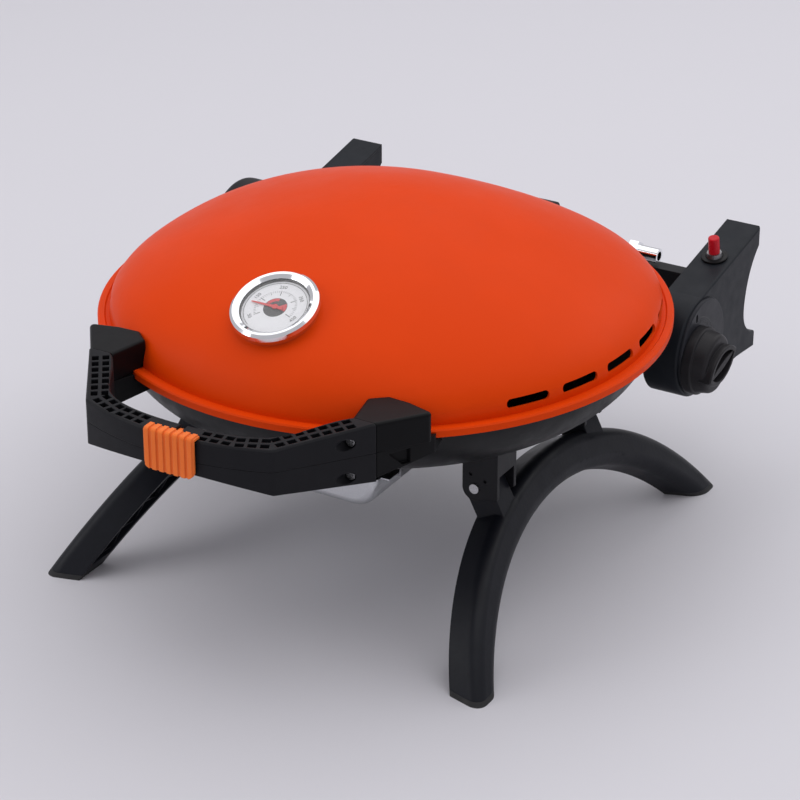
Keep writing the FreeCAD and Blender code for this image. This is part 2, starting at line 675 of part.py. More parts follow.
# ---------------------------------------------------------------- rear brace and lid hinge
brace_z0 = 190.0
brace_z1 = 209.0
brace = box(-ARM_X0, ARM_X0, BOWL_R + 6, BOWL_R + 21, brace_z0, brace_z1)
brace_web = box(-36, 36, BOWL_R - 24, BOWL_R + 7, brace_z0, brace_z1).cut(bowl_outer)
saddle = box(gas_x, gas_x + 9, gas_y - 5, gas_y + 5, brace_z1 - 1, gas_z)
lug_x = 16.0
tongue_w = 9.0
lug_t = 7.0
eye_r = 8.5
lug_parts = []
for x0 in (lug_x - tongue_w / 2 - GAP - lug_t, lug_x + tongue_w / 2 + GAP):
    pts = [(BOWL_R + 8, brace_z1 - 1), (BOWL_R + 21, brace_z1 - 1), (PIVOT_Y + eye_r, PIVOT_Z), (PIVOT_Y - eye_r, PIVOT_Z)]
    lug_parts.append(prism_x(pts, x0, x0 + lug_t))
    lug_parts.append(rod(eye_r, (x0, PIVOT_Y, PIVOT_Z), (x0 + lug_t, PIVOT_Y, PIVOT_Z)))
lug_parts += [mirrored(p) for p in lug_parts]
brace = fuse_all([brace, brace_web, saddle] + lug_parts)
brace = brace.cut(nut)
pin_half = tongue_w / 2 + GAP + lug_t + 1.5
pins = []
for side in (-1, 1):
    x = side * lug_x
    pins.append(rod(PIN_R, (x - pin_half, PIVOT_Y, PIVOT_Z), (x + pin_half, PIVOT_Y, PIVOT_Z)))
    head_x = x + side * pin_half
    pins.append(rod(PIN_R + 2, (head_x - side * 1.4, PIVOT_Y, PIVOT_Z), (head_x + side * 1.0, PIVOT_Y, PIVOT_Z)))
brace = brace.cut(pins)
save("rear_brace", brace)
save("lid_hinge_pins", Part.Compound([pins[0].fuse(pins[1]).removeSplitter(), pins[2].fuse(pins[3]).removeSplitter()]))

flange_y = math.sqrt(LID_R ** 2 - lug_x ** 2)
tongue = prism_x([
    (flange_y - 12, FLANGE_Z - 1),
    (flange_y - 12, FLANGE_Z + 5.5),
    (PIVOT_Y - 4, PIVOT_Z + 8.2),
    (PIVOT_Y, PIVOT_Z),
    (PIVOT_Y - 2, PIVOT_Z - eye_r + 0.4),
    (flange_y + 3, LIP_Z),
], lug_x - tongue_w / 2, lug_x + tongue_w / 2)
tongue = tongue.fuse(rod(eye_r, (lug_x - tongue_w / 2, PIVOT_Y, PIVOT_Z), (lug_x + tongue_w / 2, PIVOT_Y, PIVOT_Z)))
foot_pad = box(lug_x - 14, lug_x + 14, flange_y - 14, flange_y - 3, FLANGE_Z - 1, FLANGE_Z + 3.6)
tongue = tongue.fuse(foot_pad).cut(lid_filled)
tongue = tongue.cut(rod(PIN_R + FIT, (0, PIVOT_Y, PIVOT_Z), (200, PIVOT_Y, PIVOT_Z))).removeSplitter()
save("lid_hinge_right", tongue)
save("lid_hinge_left", mirrored(tongue))


# ---------------------------------------------------------------- carrying handle
seam_end = HANDLE_SEAM - SEAM_DROP
arm_end_top = HANDLE_TOP + HANDLE_RISE
arm_end_bottom = HANDLE_BOTTOM - HANDLE_DROP


def seam_line(gap):
    return [(HANDLE_END_Y, seam_end + gap), (KINK_Y, HANDLE_SEAM + gap), (BAR_Y - 20, HANDLE_SEAM + gap)]


def handle_plan(z0, z1):
    outer = [V(HANDLE_OUT_X, HANDLE_END_Y, z0), V(KINK_X, KINK_Y, z0)]
    arc = Part.Arc(outer[1], V(0, BAR_Y, z0), V(-KINK_X, KINK_Y, z0)).toShape()
    inner = Part.BSplineCurve()
    half = [(HANDLE_IN_X, HANDLE_END_Y), (97, -281), (79, -306), (52, -318), (26, -322)]
    pts = half + [(0, BAR_IN_Y)] + [(-x, y) for x, y in reversed(half)]
    inner.interpolate([V(x, y, z0) for x, y in pts])
    edges = [
        Part.makeLine(outer[0], outer[1]),
        arc,
        Part.makeLine(V(-KINK_X, KINK_Y, z0), V(-HANDLE_OUT_X, HANDLE_END_Y, z0)),
        Part.makeLine(V(-HANDLE_OUT_X, HANDLE_END_Y, z0), V(-HANDLE_IN_X, HANDLE_END_Y, z0)),
        inner.toShape(),
        Part.makeLine(V(HANDLE_IN_X, HANDLE_END_Y, z0), V(HANDLE_OUT_X, HANDLE_END_Y, z0)),
    ]
    face = Part.Face(Part.Wire(Part.__sortEdges__(edges)))
    body = face.extrude(V(0, 0, z1 - z0))
    corner = [e for e in edges_along(body, V(0, 0, 1)) if abs(e.BoundBox.YMin - KINK_Y) < 0.1]
    return body.makeFillet(9.0, corner)


grip_solid = handle_plan(arm_end_bottom - 5, arm_end_top + 5)
upper_side = prism_x(
    seam_line(GAP / 2) + [(BAR_Y - 20, HANDLE_TOP), (KINK_Y, HANDLE_TOP), (HANDLE_END_Y, arm_end_top)], -200, 200
)
lower_side = prism_x(
    seam_line(-GAP / 2) + [(BAR_Y - 20, HANDLE_BOTTOM), (KINK_Y, HANDLE_BOTTOM), (HANDLE_END_Y, arm_end_bottom)],
    -200, 200,
)
front_y = BAR_Y - 55
waist_arc = Part.Arc(
    V(-KINK_X, front_y, HANDLE_BOTTOM), V(0, front_y, HANDLE_WAIST), V(KINK_X, front_y, HANDLE_BOTTOM)
).toShape()
waist_base = Part.makeLine(V(KINK_X, front_y, HANDLE_BOTTOM), V(-KINK_X, front_y, HANDLE_BOTTOM))
waist_cut = Part.Face(Part.Wire([waist_arc, waist_base])).extrude(V(0, 110, 0))
upper_grip = grip_solid.common(upper_side)
lower_grip = grip_solid.common(lower_side).cut(waist_cut)
top_edges = [e for e in upper_grip.Edges if e.BoundBox.ZMin > HANDLE_TOP - 0.1 and e.BoundBox.YLength > 0.5]
upper_grip = upper_grip.makeChamfer(HANDLE_EDGE, top_edges)


def rib_pockets(open_z, deep_z, near_z, runs):
    track = [(30, -332.5), (58, -328.5), (83, -317.5), (101, -291), (122, -261)]
    cutters = []
    carry = 0.0
    for (xa, ya), (xb, yb) in zip(track[:runs], track[1:]):
        run = math.hypot(xb - xa, yb - ya)
        ux = (xb - xa) / run
        uy = (yb - ya) / run
        s = carry
        while s < run:
            for off in (-4.4, 4.4):
                cx = xa + ux * s - uy * off
                cy = ya + uy * s + ux * off
                floor_z = deep_z if cy < -292 else near_z
                z0 = min(floor_z, open_z)
                pocket = Part.makeBox(POCKET_LEN, POCKET_W, abs(open_z - floor_z), V(-POCKET_LEN / 2, -POCKET_W / 2, z0))
                pocket.rotate(V(0, 0, 0), V(0, 0, 1), math.degrees(math.atan2(uy, ux)))
                pocket.translate(V(cx, cy, 0))
                cutters.append(pocket)
            s += POCKET_PITCH
        carry = s - run
    return cutters + [mirrored(c) for c in cutters]


# screws run rearwards through the arm ends into the caps and brackets
slope_run = (HANDLE_END_Y - KINK_Y) / (HANDLE_OUT_X - KINK_X)
screw_face_y = HANDLE_END_Y + (SCREW_X - HANDLE_OUT_X) * slope_run
seat_y = screw_face_y + 10.5
head_r = 4.0
shank_r = 1.8
shank_end_y = HANDLE_END_Y + 5.5


def screw_bores(z):
    tools = [
        rod(SCREW_BORE_R, (SCREW_X, screw_face_y - 25, z), (SCREW_X, seat_y, z)),
        rod(shank_r, (SCREW_X, seat_y - 1, z), (SCREW_X, shank_end_y, z)),
    ]
    return tools + [mirrored(t) for t in tools]


def screw_pair(z):
    head = rod(head_r, (SCREW_X, seat_y - 3, z), (SCREW_X, seat_y, z))
    cross = box(SCREW_X - 2.4, SCREW_X + 2.4, seat_y - 4, seat_y - 1.6, z - 0.5, z + 0.5)
    cross = cross.fuse(box(SCREW_X - 0.5, SCREW_X + 0.5, seat_y - 4, seat_y - 1.6, z - 2.4, z + 2.4))
    shank = rod(shank_r, (SCREW_X, seat_y - 0.5, z), (SCREW_X, shank_end_y, z))
    screw = head.fuse(shank).removeSplitter().cut(cross)
    return Part.Compound([screw, mirrored(screw)])


# where the clip sits the bar is relieved so that the clip can swing about its pin
clip_wall = 2.0
clip_gap = 0.5
clip_top = HANDLE_TOP + clip_gap
clip_front = BAR_Y - clip_gap
ease_r = CLIP_PIN_Y - clip_front - 0.5
ease_low = CLIP_PIN_Z + math.sqrt(ease_r ** 2 - (CLIP_PIN_Y - BAR_Y) ** 2)
ease_back = CLIP_PIN_Y - math.sqrt(ease_r ** 2 - (HANDLE_TOP - CLIP_PIN_Z) ** 2)
ease = prism_x([
    (BAR_Y - 4, ease_low - 4 * (HANDLE_TOP - ease_low) / (ease_back - BAR_Y)),
    (ease_back, HANDLE_TOP),
    (ease_back, HANDLE_TOP + 5),
    (BAR_Y - 4, HANDLE_TOP + 5),
], CLIP_X - CLIP_HALF - 0.5, CLIP_X + CLIP_HALF + 0.5)
tongue_half = 3.0
tongue_x0 = CLIP_X - tongue_half
tongue_x1 = CLIP_X + tongue_half
clip_pin = rod(CLIP_PIN_R, (CLIP_X - 12.5, CLIP_PIN_Y, CLIP_PIN_Z), (CLIP_X + 12.5, CLIP_PIN_Y, CLIP_PIN_Z))
clip_slot = box(tongue_x0 - 0.5, tongue_x1 + 0.5, BAR_Y - 5, BAR_IN_Y + 5, CLIP_PIN_Z - 5.2, arm_end_top + 5)
upper_cuts = rib_pockets(arm_end_top + 5, HANDLE_TOP - 9, SCREW_UP_Z + SCREW_BORE_R + 0.8, 4)
upper_cuts += screw_bores(SCREW_UP_Z) + [clip_slot, ease, clip_pin]
lower_cuts = rib_pockets(arm_end_bottom - 5, HANDLE_WAIST + 5, HANDLE_WAIST + 5, 3)
lower_cuts += screw_bores(SCREW_LOW_Z)
save("handle_upper", upper_grip.cut(upper_cuts))
save("handle_lower", lower_grip.cut(lower_cuts))
save("handle_upper_screws", screw_pair(SCREW_UP_Z))
save("handle_lower_screws", screw_pair(SCREW_LOW_Z))


def joint_plug(z0, z1):
    # core that bridges the groove between an arm end and the piece behind it
    inset = 2.0
    return prism_z([
        (HANDLE_IN_X + inset, HANDLE_END_Y), (HANDLE_OUT_X - inset, HANDLE_END_Y),
        (HANDLE_OUT_X - inset, HANDLE_END_Y + 3), (HANDLE_IN_X + inset, HANDLE_END_Y + 3),
    ], z0 + inset, z1 - inset)


# glossy caps that carry the upper half on the lid
cap_front_y = HANDLE_END_Y + JOINT_GROOVE
cap_low = seam_end + GAP / 2
cap_high = arm_end_top - 0.5
cap_plan = [
    (HANDLE_IN_X, cap_front_y), (HANDLE_OUT_X, cap_front_y), CAP_TIP, (143, -203), (123, -202), (109, -214),
]
cap_block = prism_z(cap_plan, cap_low, cap_high)
cap_block = cap_block.makeFillet(4.0, [e for e in edges_along(cap_block, V(0, 0, 1)) if e.BoundBox.YMin > cap_front_y + 1])
cap_rim = [e for e in cap_block.Edges if e.BoundBox.ZMin > cap_high - 0.01 and e.BoundBox.YMax > cap_front_y + 1]
cap_block = cap_block.makeFillet(CAP_EDGE_R, cap_rim)
cap_block = cap_block.fuse(joint_plug(cap_low, cap_high)).cut([lid_filled] + screw_bores(SCREW_UP_Z))
save("lid_cap_right", cap_block.removeSplitter())
save("lid_cap_left", mirrored(cap_block.removeSplitter()))

# brackets that carry the lower half on the bowl
bracket_high = seam_end - GAP / 2
bracket_low = 213.0
bracket_far = (165.0, -201.0)
bracket_rise = 7.0
bracket_plan = [
    (HANDLE_IN_X, cap_front_y), (HANDLE_OUT_X, cap_front_y), bracket_far, (158, -176), (120, -190), (103, -216),
]
bracket_side = prism_x([
    (cap_front_y, bracket_high), (cap_front_y, bracket_low), (bracket_far[1], bracket_low + bracket_rise),
    (-172, bracket_low + bracket_rise), (-172, bracket_high),
], 90, 180)
bracket = prism_z(bracket_plan, bracket_low, bracket_high).common(bracket_side)
bracket = bracket.fuse(joint_plug(bracket_low + 0.5, bracket_high))
notch = prism_x([(-241, 231), (-222, 231), (-222, 218), (-229, 218)], 130, 180)
notch_core = prism_z([(100, -250), (133.5, -250), (158, -210), (158, -170), (100, -170)], 180, 260)
bowl_rim = Part.makeCylinder(BOWL_R + BOWL_BEAD, 30, V(0, 0, BOWL_TOP_Z - 11))
lid_room = Part.makeCylinder(LID_R + 1.2, 30, V(0, 0, LIP_Z - 0.7))
bracket = bracket.cut([notch.cut(notch_core), fuse_all([bowl_outer, bowl_rim]), lid_room] + screw_bores(SCREW_LOW_Z))
save("handle_bracket_right", bracket.removeSplitter())
save("handle_bracket_left", mirrored(bracket.removeSplitter()))

# ribbed latch clip on the middle of the handle
rib_h = 1.2
clip_low = HANDLE_WAIST - 3.0
clip_back = clip_front + 7.0


def clip_profile(grow, x0, x1):
    y0 = clip_front - clip_wall - grow
    z1 = clip_top + clip_wall + grow
    outer = prism_x([(y0, clip_low), (y0, z1), (clip_back, z1), (clip_back, clip_low)], x0, x1)
    outer = outer.makeFillet(2.8, [e for e in edges_along(outer, V(1, 0, 0)) if e.BoundBox.YMax < clip_front
                                   and e.BoundBox.ZMin > clip_top])
    hollow = box(x0 - 1, x1 + 1, clip_front, 0, clip_low - 1, clip_top)
    return outer.cut(hollow)


rib_pitch = 2 * CLIP_HALF / CLIP_RIBS
clip_parts = [clip_profile(0.0, CLIP_X - CLIP_HALF, CLIP_X + CLIP_HALF)]
for k in range(CLIP_RIBS):
    mid = CLIP_X - CLIP_HALF + rib_pitch * (k + 0.5)
    clip_parts.append(clip_profile(rib_h, mid - rib_pitch * 0.3, mid + rib_pitch * 0.3))
clip_outline = box(CLIP_X - CLIP_HALF, CLIP_X + CLIP_HALF, clip_front - 10, 0, clip_low, clip_top + 10)
clip_outline = clip_outline.makeFillet(7.0, [e for e in edges_along(clip_outline, V(0, 1, 0)) if e.BoundBox.ZMax < clip_top])
clip = fuse_all(clip_parts).common(clip_outline)
eye = rod(4.0, (tongue_x0, CLIP_PIN_Y, CLIP_PIN_Z), (tongue_x1, CLIP_PIN_Y, CLIP_PIN_Z))
clip_tongue = box(tongue_x0, tongue_x1, clip_front - 0.5, CLIP_PIN_Y, CLIP_PIN_Z - 3.5, CLIP_PIN_Z + 4.0)
running_bore = rod(CLIP_PIN_R + FIT, (tongue_x0 - 1, CLIP_PIN_Y, CLIP_PIN_Z), (tongue_x1 + 1, CLIP_PIN_Y, CLIP_PIN_Z))
save("latch_clip", fuse_all([clip, clip_tongue, eye]).cut(running_bore))
save("latch_pin", clip_pin)

# ---------------------------------------------------------------- folding legs
leg_drop = LEG_PIVOT_Z - TABLE_Z
leg_len = math.hypot(LEG_FOOT_X - LEG_PIVOT_X, leg_drop)
leg_tilt = math.degrees(math.atan2(LEG_FOOT_X - LEG_PIVOT_X, leg_drop))
half_t = LEG_T / 2
out_c = LEG_OUT_TOP - LEG_OUT_R
in_c = LEG_IN_TOP - LEG_IN_R


def leg_ring(r_out, r_in, x0, x1):
    outer = Part.makeCylinder(r_out, x1 - x0, V(x0, LEG_MID_Y, out_c), V(1, 0, 0))
    inner = Part.makeCylinder(r_in, x1 - x0 + 2, V(x0 - 1, LEG_MID_Y, in_c), V(1, 0, 0))
    return outer.cut(inner)


def place_leg(shape):
    # leg drawings have the pivot line at height leg_len over the foot line
    out = shape.copy()
    out.translate(V(0, 0, -leg_len))
    out.rotate(V(0, 0, 0), V(0, 1, 0), -leg_tilt)
    out.translate(V(LEG_PIVOT_X, 0, LEG_PIVOT_Z))
    return out


arch = leg_ring(LEG_OUT_R, LEG_IN_R, -half_t, half_t).common(box(-half_t, half_t, -400, 400, -22, 200))
arch = arch.makeFillet(LEG_EDGE_R, [
    e for e in arch.Edges if isinstance(e.Curve, Part.Circle) and e.BoundBox.XMin > half_t - 0.1
])
# the side that faces the other leg is hollow, with a thin lattice across the hollow
hollow_x = half_t - LEG_WALL - 1
hollow = leg_ring(LEG_OUT_R - LEG_WALL, LEG_IN_R + LEG_WALL, -half_t - 1, hollow_x)
hollow = hollow.common(box(-half_t - 1, half_t, -400, 400, 20, 200))
lattice = []
lattice_mid = (LEG_OUT_TOP + LEG_IN_TOP) / 2 - in_c
for k in range(-7, 8):
    for lean in (-40, 40):
        rib = box(-half_t + 3, half_t - 1, -0.9, 0.9, -30, 30)
        rib.rotate(V(0, 0, 0), V(1, 0, 0), lean)
        rib.translate(V(0, 0, lattice_mid))
        rib.rotate(V(0, 0, 0), V(1, 0, 0), 7.0 * k)
        rib.translate(V(0, LEG_MID_Y, in_c))
        lattice.append(rib)
arch = arch.cut(hollow.cut(lattice))
block_mids = (LEG_MID_Y - BLOCK_OFF, LEG_MID_Y + BLOCK_OFF)
knuckle_half = BLOCK_W / 2 - CHEEK_T - GAP
knuckle_r = 13.0
knuckles = []
pin_holes = []
for mid in block_mids:
    knuckles.append(Part.makeCylinder(knuckle_r, 2 * knuckle_half, V(0, mid - knuckle_half, leg_len), V(0, 1, 0)))
    knuckles.append(box(-knuckle_r, knuckle_r, mid - knuckle_half, mid + knuckle_half, leg_len - 34, leg_len))
    pin_holes.append(Part.makeCylinder(LEG_PIN_R + FIT, 60, V(0, mid - 30, leg_len), V(0, 1, 0)))
leg = place_leg(fuse_all([arch] + knuckles).cut(pin_holes))
below = box(100, 300, -400, 400, -100, TABLE_Z)
pad_zone = box(100, 300, -400, 400, TABLE_Z, TABLE_Z + FOOT_H)
foot = leg.common(pad_zone)
leg = leg.cut([below, pad_zone])
save("leg_right", leg)
save("leg_left", mirrored(leg))
save("foot_pads_right", foot)
save("foot_pads_left", mirrored(foot))

cheek_r = 12.0
block_top = 200.0
blocks = []
leg_pins = []
studs = []
for mid in block_mids:
    lo = mid - BLOCK_W / 2
    hi = mid + BLOCK_W / 2
    slab = [(BLOCK_X[0], LEG_PIVOT_Z), (BLOCK_X[0], block_top), (BLOCK_X[1], block_top),
            (BLOCK_X[1], LEG_PIVOT_Z - 6.5), (LEG_PIVOT_X + 3, LEG_PIVOT_Z - 10)]
    for y0 in (lo, hi - CHEEK_T):
        blocks.append(prism_y(slab, y0, y0 + CHEEK_T))
        blocks.append(rod(cheek_r, (LEG_PIVOT_X, y0, LEG_PIVOT_Z), (LEG_PIVOT_X, y0 + CHEEK_T, LEG_PIVOT_Z)))
    blocks.append(box(BLOCK_X[0], BLOCK_X[1], lo, hi, LEG_PIVOT_Z + knuckle_r + 1.5, block_top))
    leg_pins.append(rod(LEG_PIN_R, (LEG_PIVOT_X, lo - 1.5, LEG_PIVOT_Z), (LEG_PIVOT_X, hi + 1.5, LEG_PIVOT_Z)))
    for x, z in ((LEG_PIVOT_X - 4, LEG_PIVOT_Z + 13), (LEG_PIVOT_X + 10, LEG_PIVOT_Z + 9)):
        studs.append(rod(1.6, (x, lo - 1, z), (x, lo + 2.2, z)))
        studs.append(rod(1.6, (x, hi - 2.2, z), (x, hi + 1, z)))
hinge_block = fuse_all(blocks).cut([bowl_outer] + studs + leg_pins)
save("leg_hinge_blocks_right", hinge_block)
save("leg_hinge_blocks_left", mirrored(hinge_block))
save("leg_pins_right", Part.Compound(leg_pins))
save("leg_pins_left", mirrored(Part.Compound(leg_pins)))


# ---------------------------------------------------------------- grease tray and rails
def tray_body(grow, z1):
    half = TRAY_HALF - grow
    body = box(-half, half, TRAY_FRONT + grow, TRAY_REAR - grow, TRAY_Z0 + grow, z1)
    sides = [e for e in edges_along(body, V(0, 1, 0)) if e.BoundBox.ZMax < TRAY_Z0 + grow + 1]
    body = body.makeFillet(TRAY_CORNER - grow, sides)
    corners = edges_along(body, V(0, 0, 1))
    return body.makeFillet(8.0 - grow, corners)


lip_w = 8.0
tray = tray_body(0.0, TRAY_Z1).cut(tray_body(TRAY_T, TRAY_Z1 + 5))
lips = [
    box(TRAY_HALF - 1, TRAY_HALF + lip_w, TRAY_FRONT + 10, TRAY_REAR - 10, TRAY_Z1 - TRAY_T, TRAY_Z1),
    box(-TRAY_HALF - lip_w, -TRAY_HALF + 1, TRAY_FRONT + 10, TRAY_REAR - 10, TRAY_Z1 - TRAY_T, TRAY_Z1),
]
inside = box(-TRAY_HALF + TRAY_T, TRAY_HALF - TRAY_T, -400, 400, 0, 300)
tray = fuse_all([tray] + [lip.cut(inside) for lip in lips])
save("grease_tray", tray)
rail_x = TRAY_HALF + lip_w + 0.5
rail_t = 2.0
rail = box(rail_x, rail_x + rail_t, TRAY_FRONT + 26, TRAY_REAR - 6, TRAY_Z1 - TRAY_T - GAP - rail_t, 190)
rail_lip = box(TRAY_HALF + 1.6, rail_x + 0.1, TRAY_FRONT + 26, TRAY_REAR - 6, TRAY_Z1 - TRAY_T - GAP - rail_t, TRAY_Z1 - TRAY_T - GAP)
rail = fuse_all([rail, rail_lip]).cut(bowl_outer)
save("tray_rail_right", rail)
save("tray_rail_left", mirrored(rail))
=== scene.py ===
import math

import bmesh
import bpy
from mathutils import Matrix, Vector


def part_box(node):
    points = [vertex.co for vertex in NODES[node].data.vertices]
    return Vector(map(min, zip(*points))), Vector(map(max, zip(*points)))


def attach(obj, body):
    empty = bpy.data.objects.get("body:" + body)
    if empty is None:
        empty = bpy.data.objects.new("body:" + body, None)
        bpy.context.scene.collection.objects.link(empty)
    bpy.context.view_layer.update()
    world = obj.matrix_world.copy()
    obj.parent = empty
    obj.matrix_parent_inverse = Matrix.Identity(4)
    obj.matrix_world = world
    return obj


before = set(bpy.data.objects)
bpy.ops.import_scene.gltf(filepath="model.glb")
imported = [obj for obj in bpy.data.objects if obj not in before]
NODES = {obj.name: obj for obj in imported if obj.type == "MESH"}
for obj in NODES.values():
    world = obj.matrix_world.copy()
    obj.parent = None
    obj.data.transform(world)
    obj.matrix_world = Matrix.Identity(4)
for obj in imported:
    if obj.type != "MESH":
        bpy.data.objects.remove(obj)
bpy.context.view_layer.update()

MM = 0.001

# Camera: where it stands, in metres in the object's frame, and how it is turned.
CAMERA_PLACE = (1.2234, -2.0135, 1.3127)
CAMERA_AZIMUTH = math.radians(30.355)
CAMERA_ELEVATION = math.radians(26.489)
CAMERA_LENS = 131.7
CAMERA_SENSOR = 36.0

# Studio: the floor, the air, and each softbox's place, width, height and power.
FLOOR_RADIUS = 14.0
FLOOR_SIDES = 128
FLOOR_COLOUR = (0.66, 0.65, 0.69)
SKY_COLOUR = (0.80, 0.79, 0.83)
SKY_STRENGTH = 0.66
LIGHT_TARGET = (0.0, 0.0, 0.2)
SOFTBOXES = {
    "top_softbox": ((0.2, 0.5, 2.6), 4.4, 4.0, 50.0),
    "left_softbox": ((-1.9, -1.5, 1.7), 1.8, 1.6, 16.0),
    "back_softbox": ((1.2, 2.2, 1.7), 1.8, 1.0, 8.0),
}

# Linear base colours of the main finishes.
ORANGE = (0.71, 0.051, 0.0015)
ORANGE_CLIP = (0.86, 0.17, 0.028)
SOOT = (0.006, 0.006, 0.007)
IRON = (0.018, 0.017, 0.017)
STEEL = (0.56, 0.56, 0.57)
RUBBED = (0.035, 0.037, 0.041)

# Edges: how far shading rounds a sharp edge, in metres, and the samples that it takes.
SOFT_EDGE = 0.0012
EDGE_SAMPLES = 6
# Wear starts and is full at these cosines between the rounded normal and the real one.
EDGE_START = 0.995
EDGE_PEAK = 0.90
WEAR_PATCH_SCALE = 90.0

# Brushed and drawn patterns: long along one axis, fine across it.
DRAWN_ALONG_X = (1.0, 30.0, 30.0)
DRAWN_ALONG_Y = (40.0, 1.5, 40.0)

# Thermometer dial: angles in degrees clockwise from the top, sizes in millimetres.
DIAL_UP = Vector((-0.18, 1.0, 0.0))
DIAL_START, DIAL_END = -120.0, 120.0
DIAL_NUMBERS = (50, 150, 250, 350, 450)
DIAL_NUMBER_R = 22.6
DIAL_NUMBER_SIZE = 4.6
DIAL_STEPS_PER_NUMBER = 10
DIAL_TICK_OUT = 18.8
# Where a tick starts and how wide it is: at a number, halfway, and elsewhere.
DIAL_TICK_LONG = (13.4, 0.55)
DIAL_TICK_MIDDLE = (15.2, 0.40)
DIAL_TICK_SHORT = (16.8, 0.28)
DIAL_RIM_LINE = (27.2, 27.6)
DIAL_RIM_OVERRUN = 18.0
DIAL_HUB_R = 10.4
DIAL_INK_THICKNESS = 0.10
# Each band's start and end angles and its inner and outer radii.
DIAL_BANDS = ((62.0, 112.0, 3.2, 10.0), (-62.0, 8.0, 7.0, 10.0))
DIAL_BAND_THICKNESS = 0.08
# How many straight runs make the rim line, half the hub and a band.
DIAL_RIM_STEPS, DIAL_HUB_STEPS, DIAL_BAND_STEPS = 90, 40, 20
# A number turned this far or further is set the other way up, so that it doesn't stand on its head.
UPRIGHT_LIMIT = 100.0

# Marks on the knob plate: an arc with ticks inside it, in degrees and millimetres.
KNOB_ARC = (6.0, 64.0, 39.0, 39.7)
KNOB_ARC_STEPS = 40
KNOB_TICK_ANGLES = (14.0, 24.0, 34.0, 44.0)
KNOB_TICK = (34.2, 36.8, 0.9)
KNOB_INK_THICKNESS = 0.12


# ---------------------------------------------------------------- materials

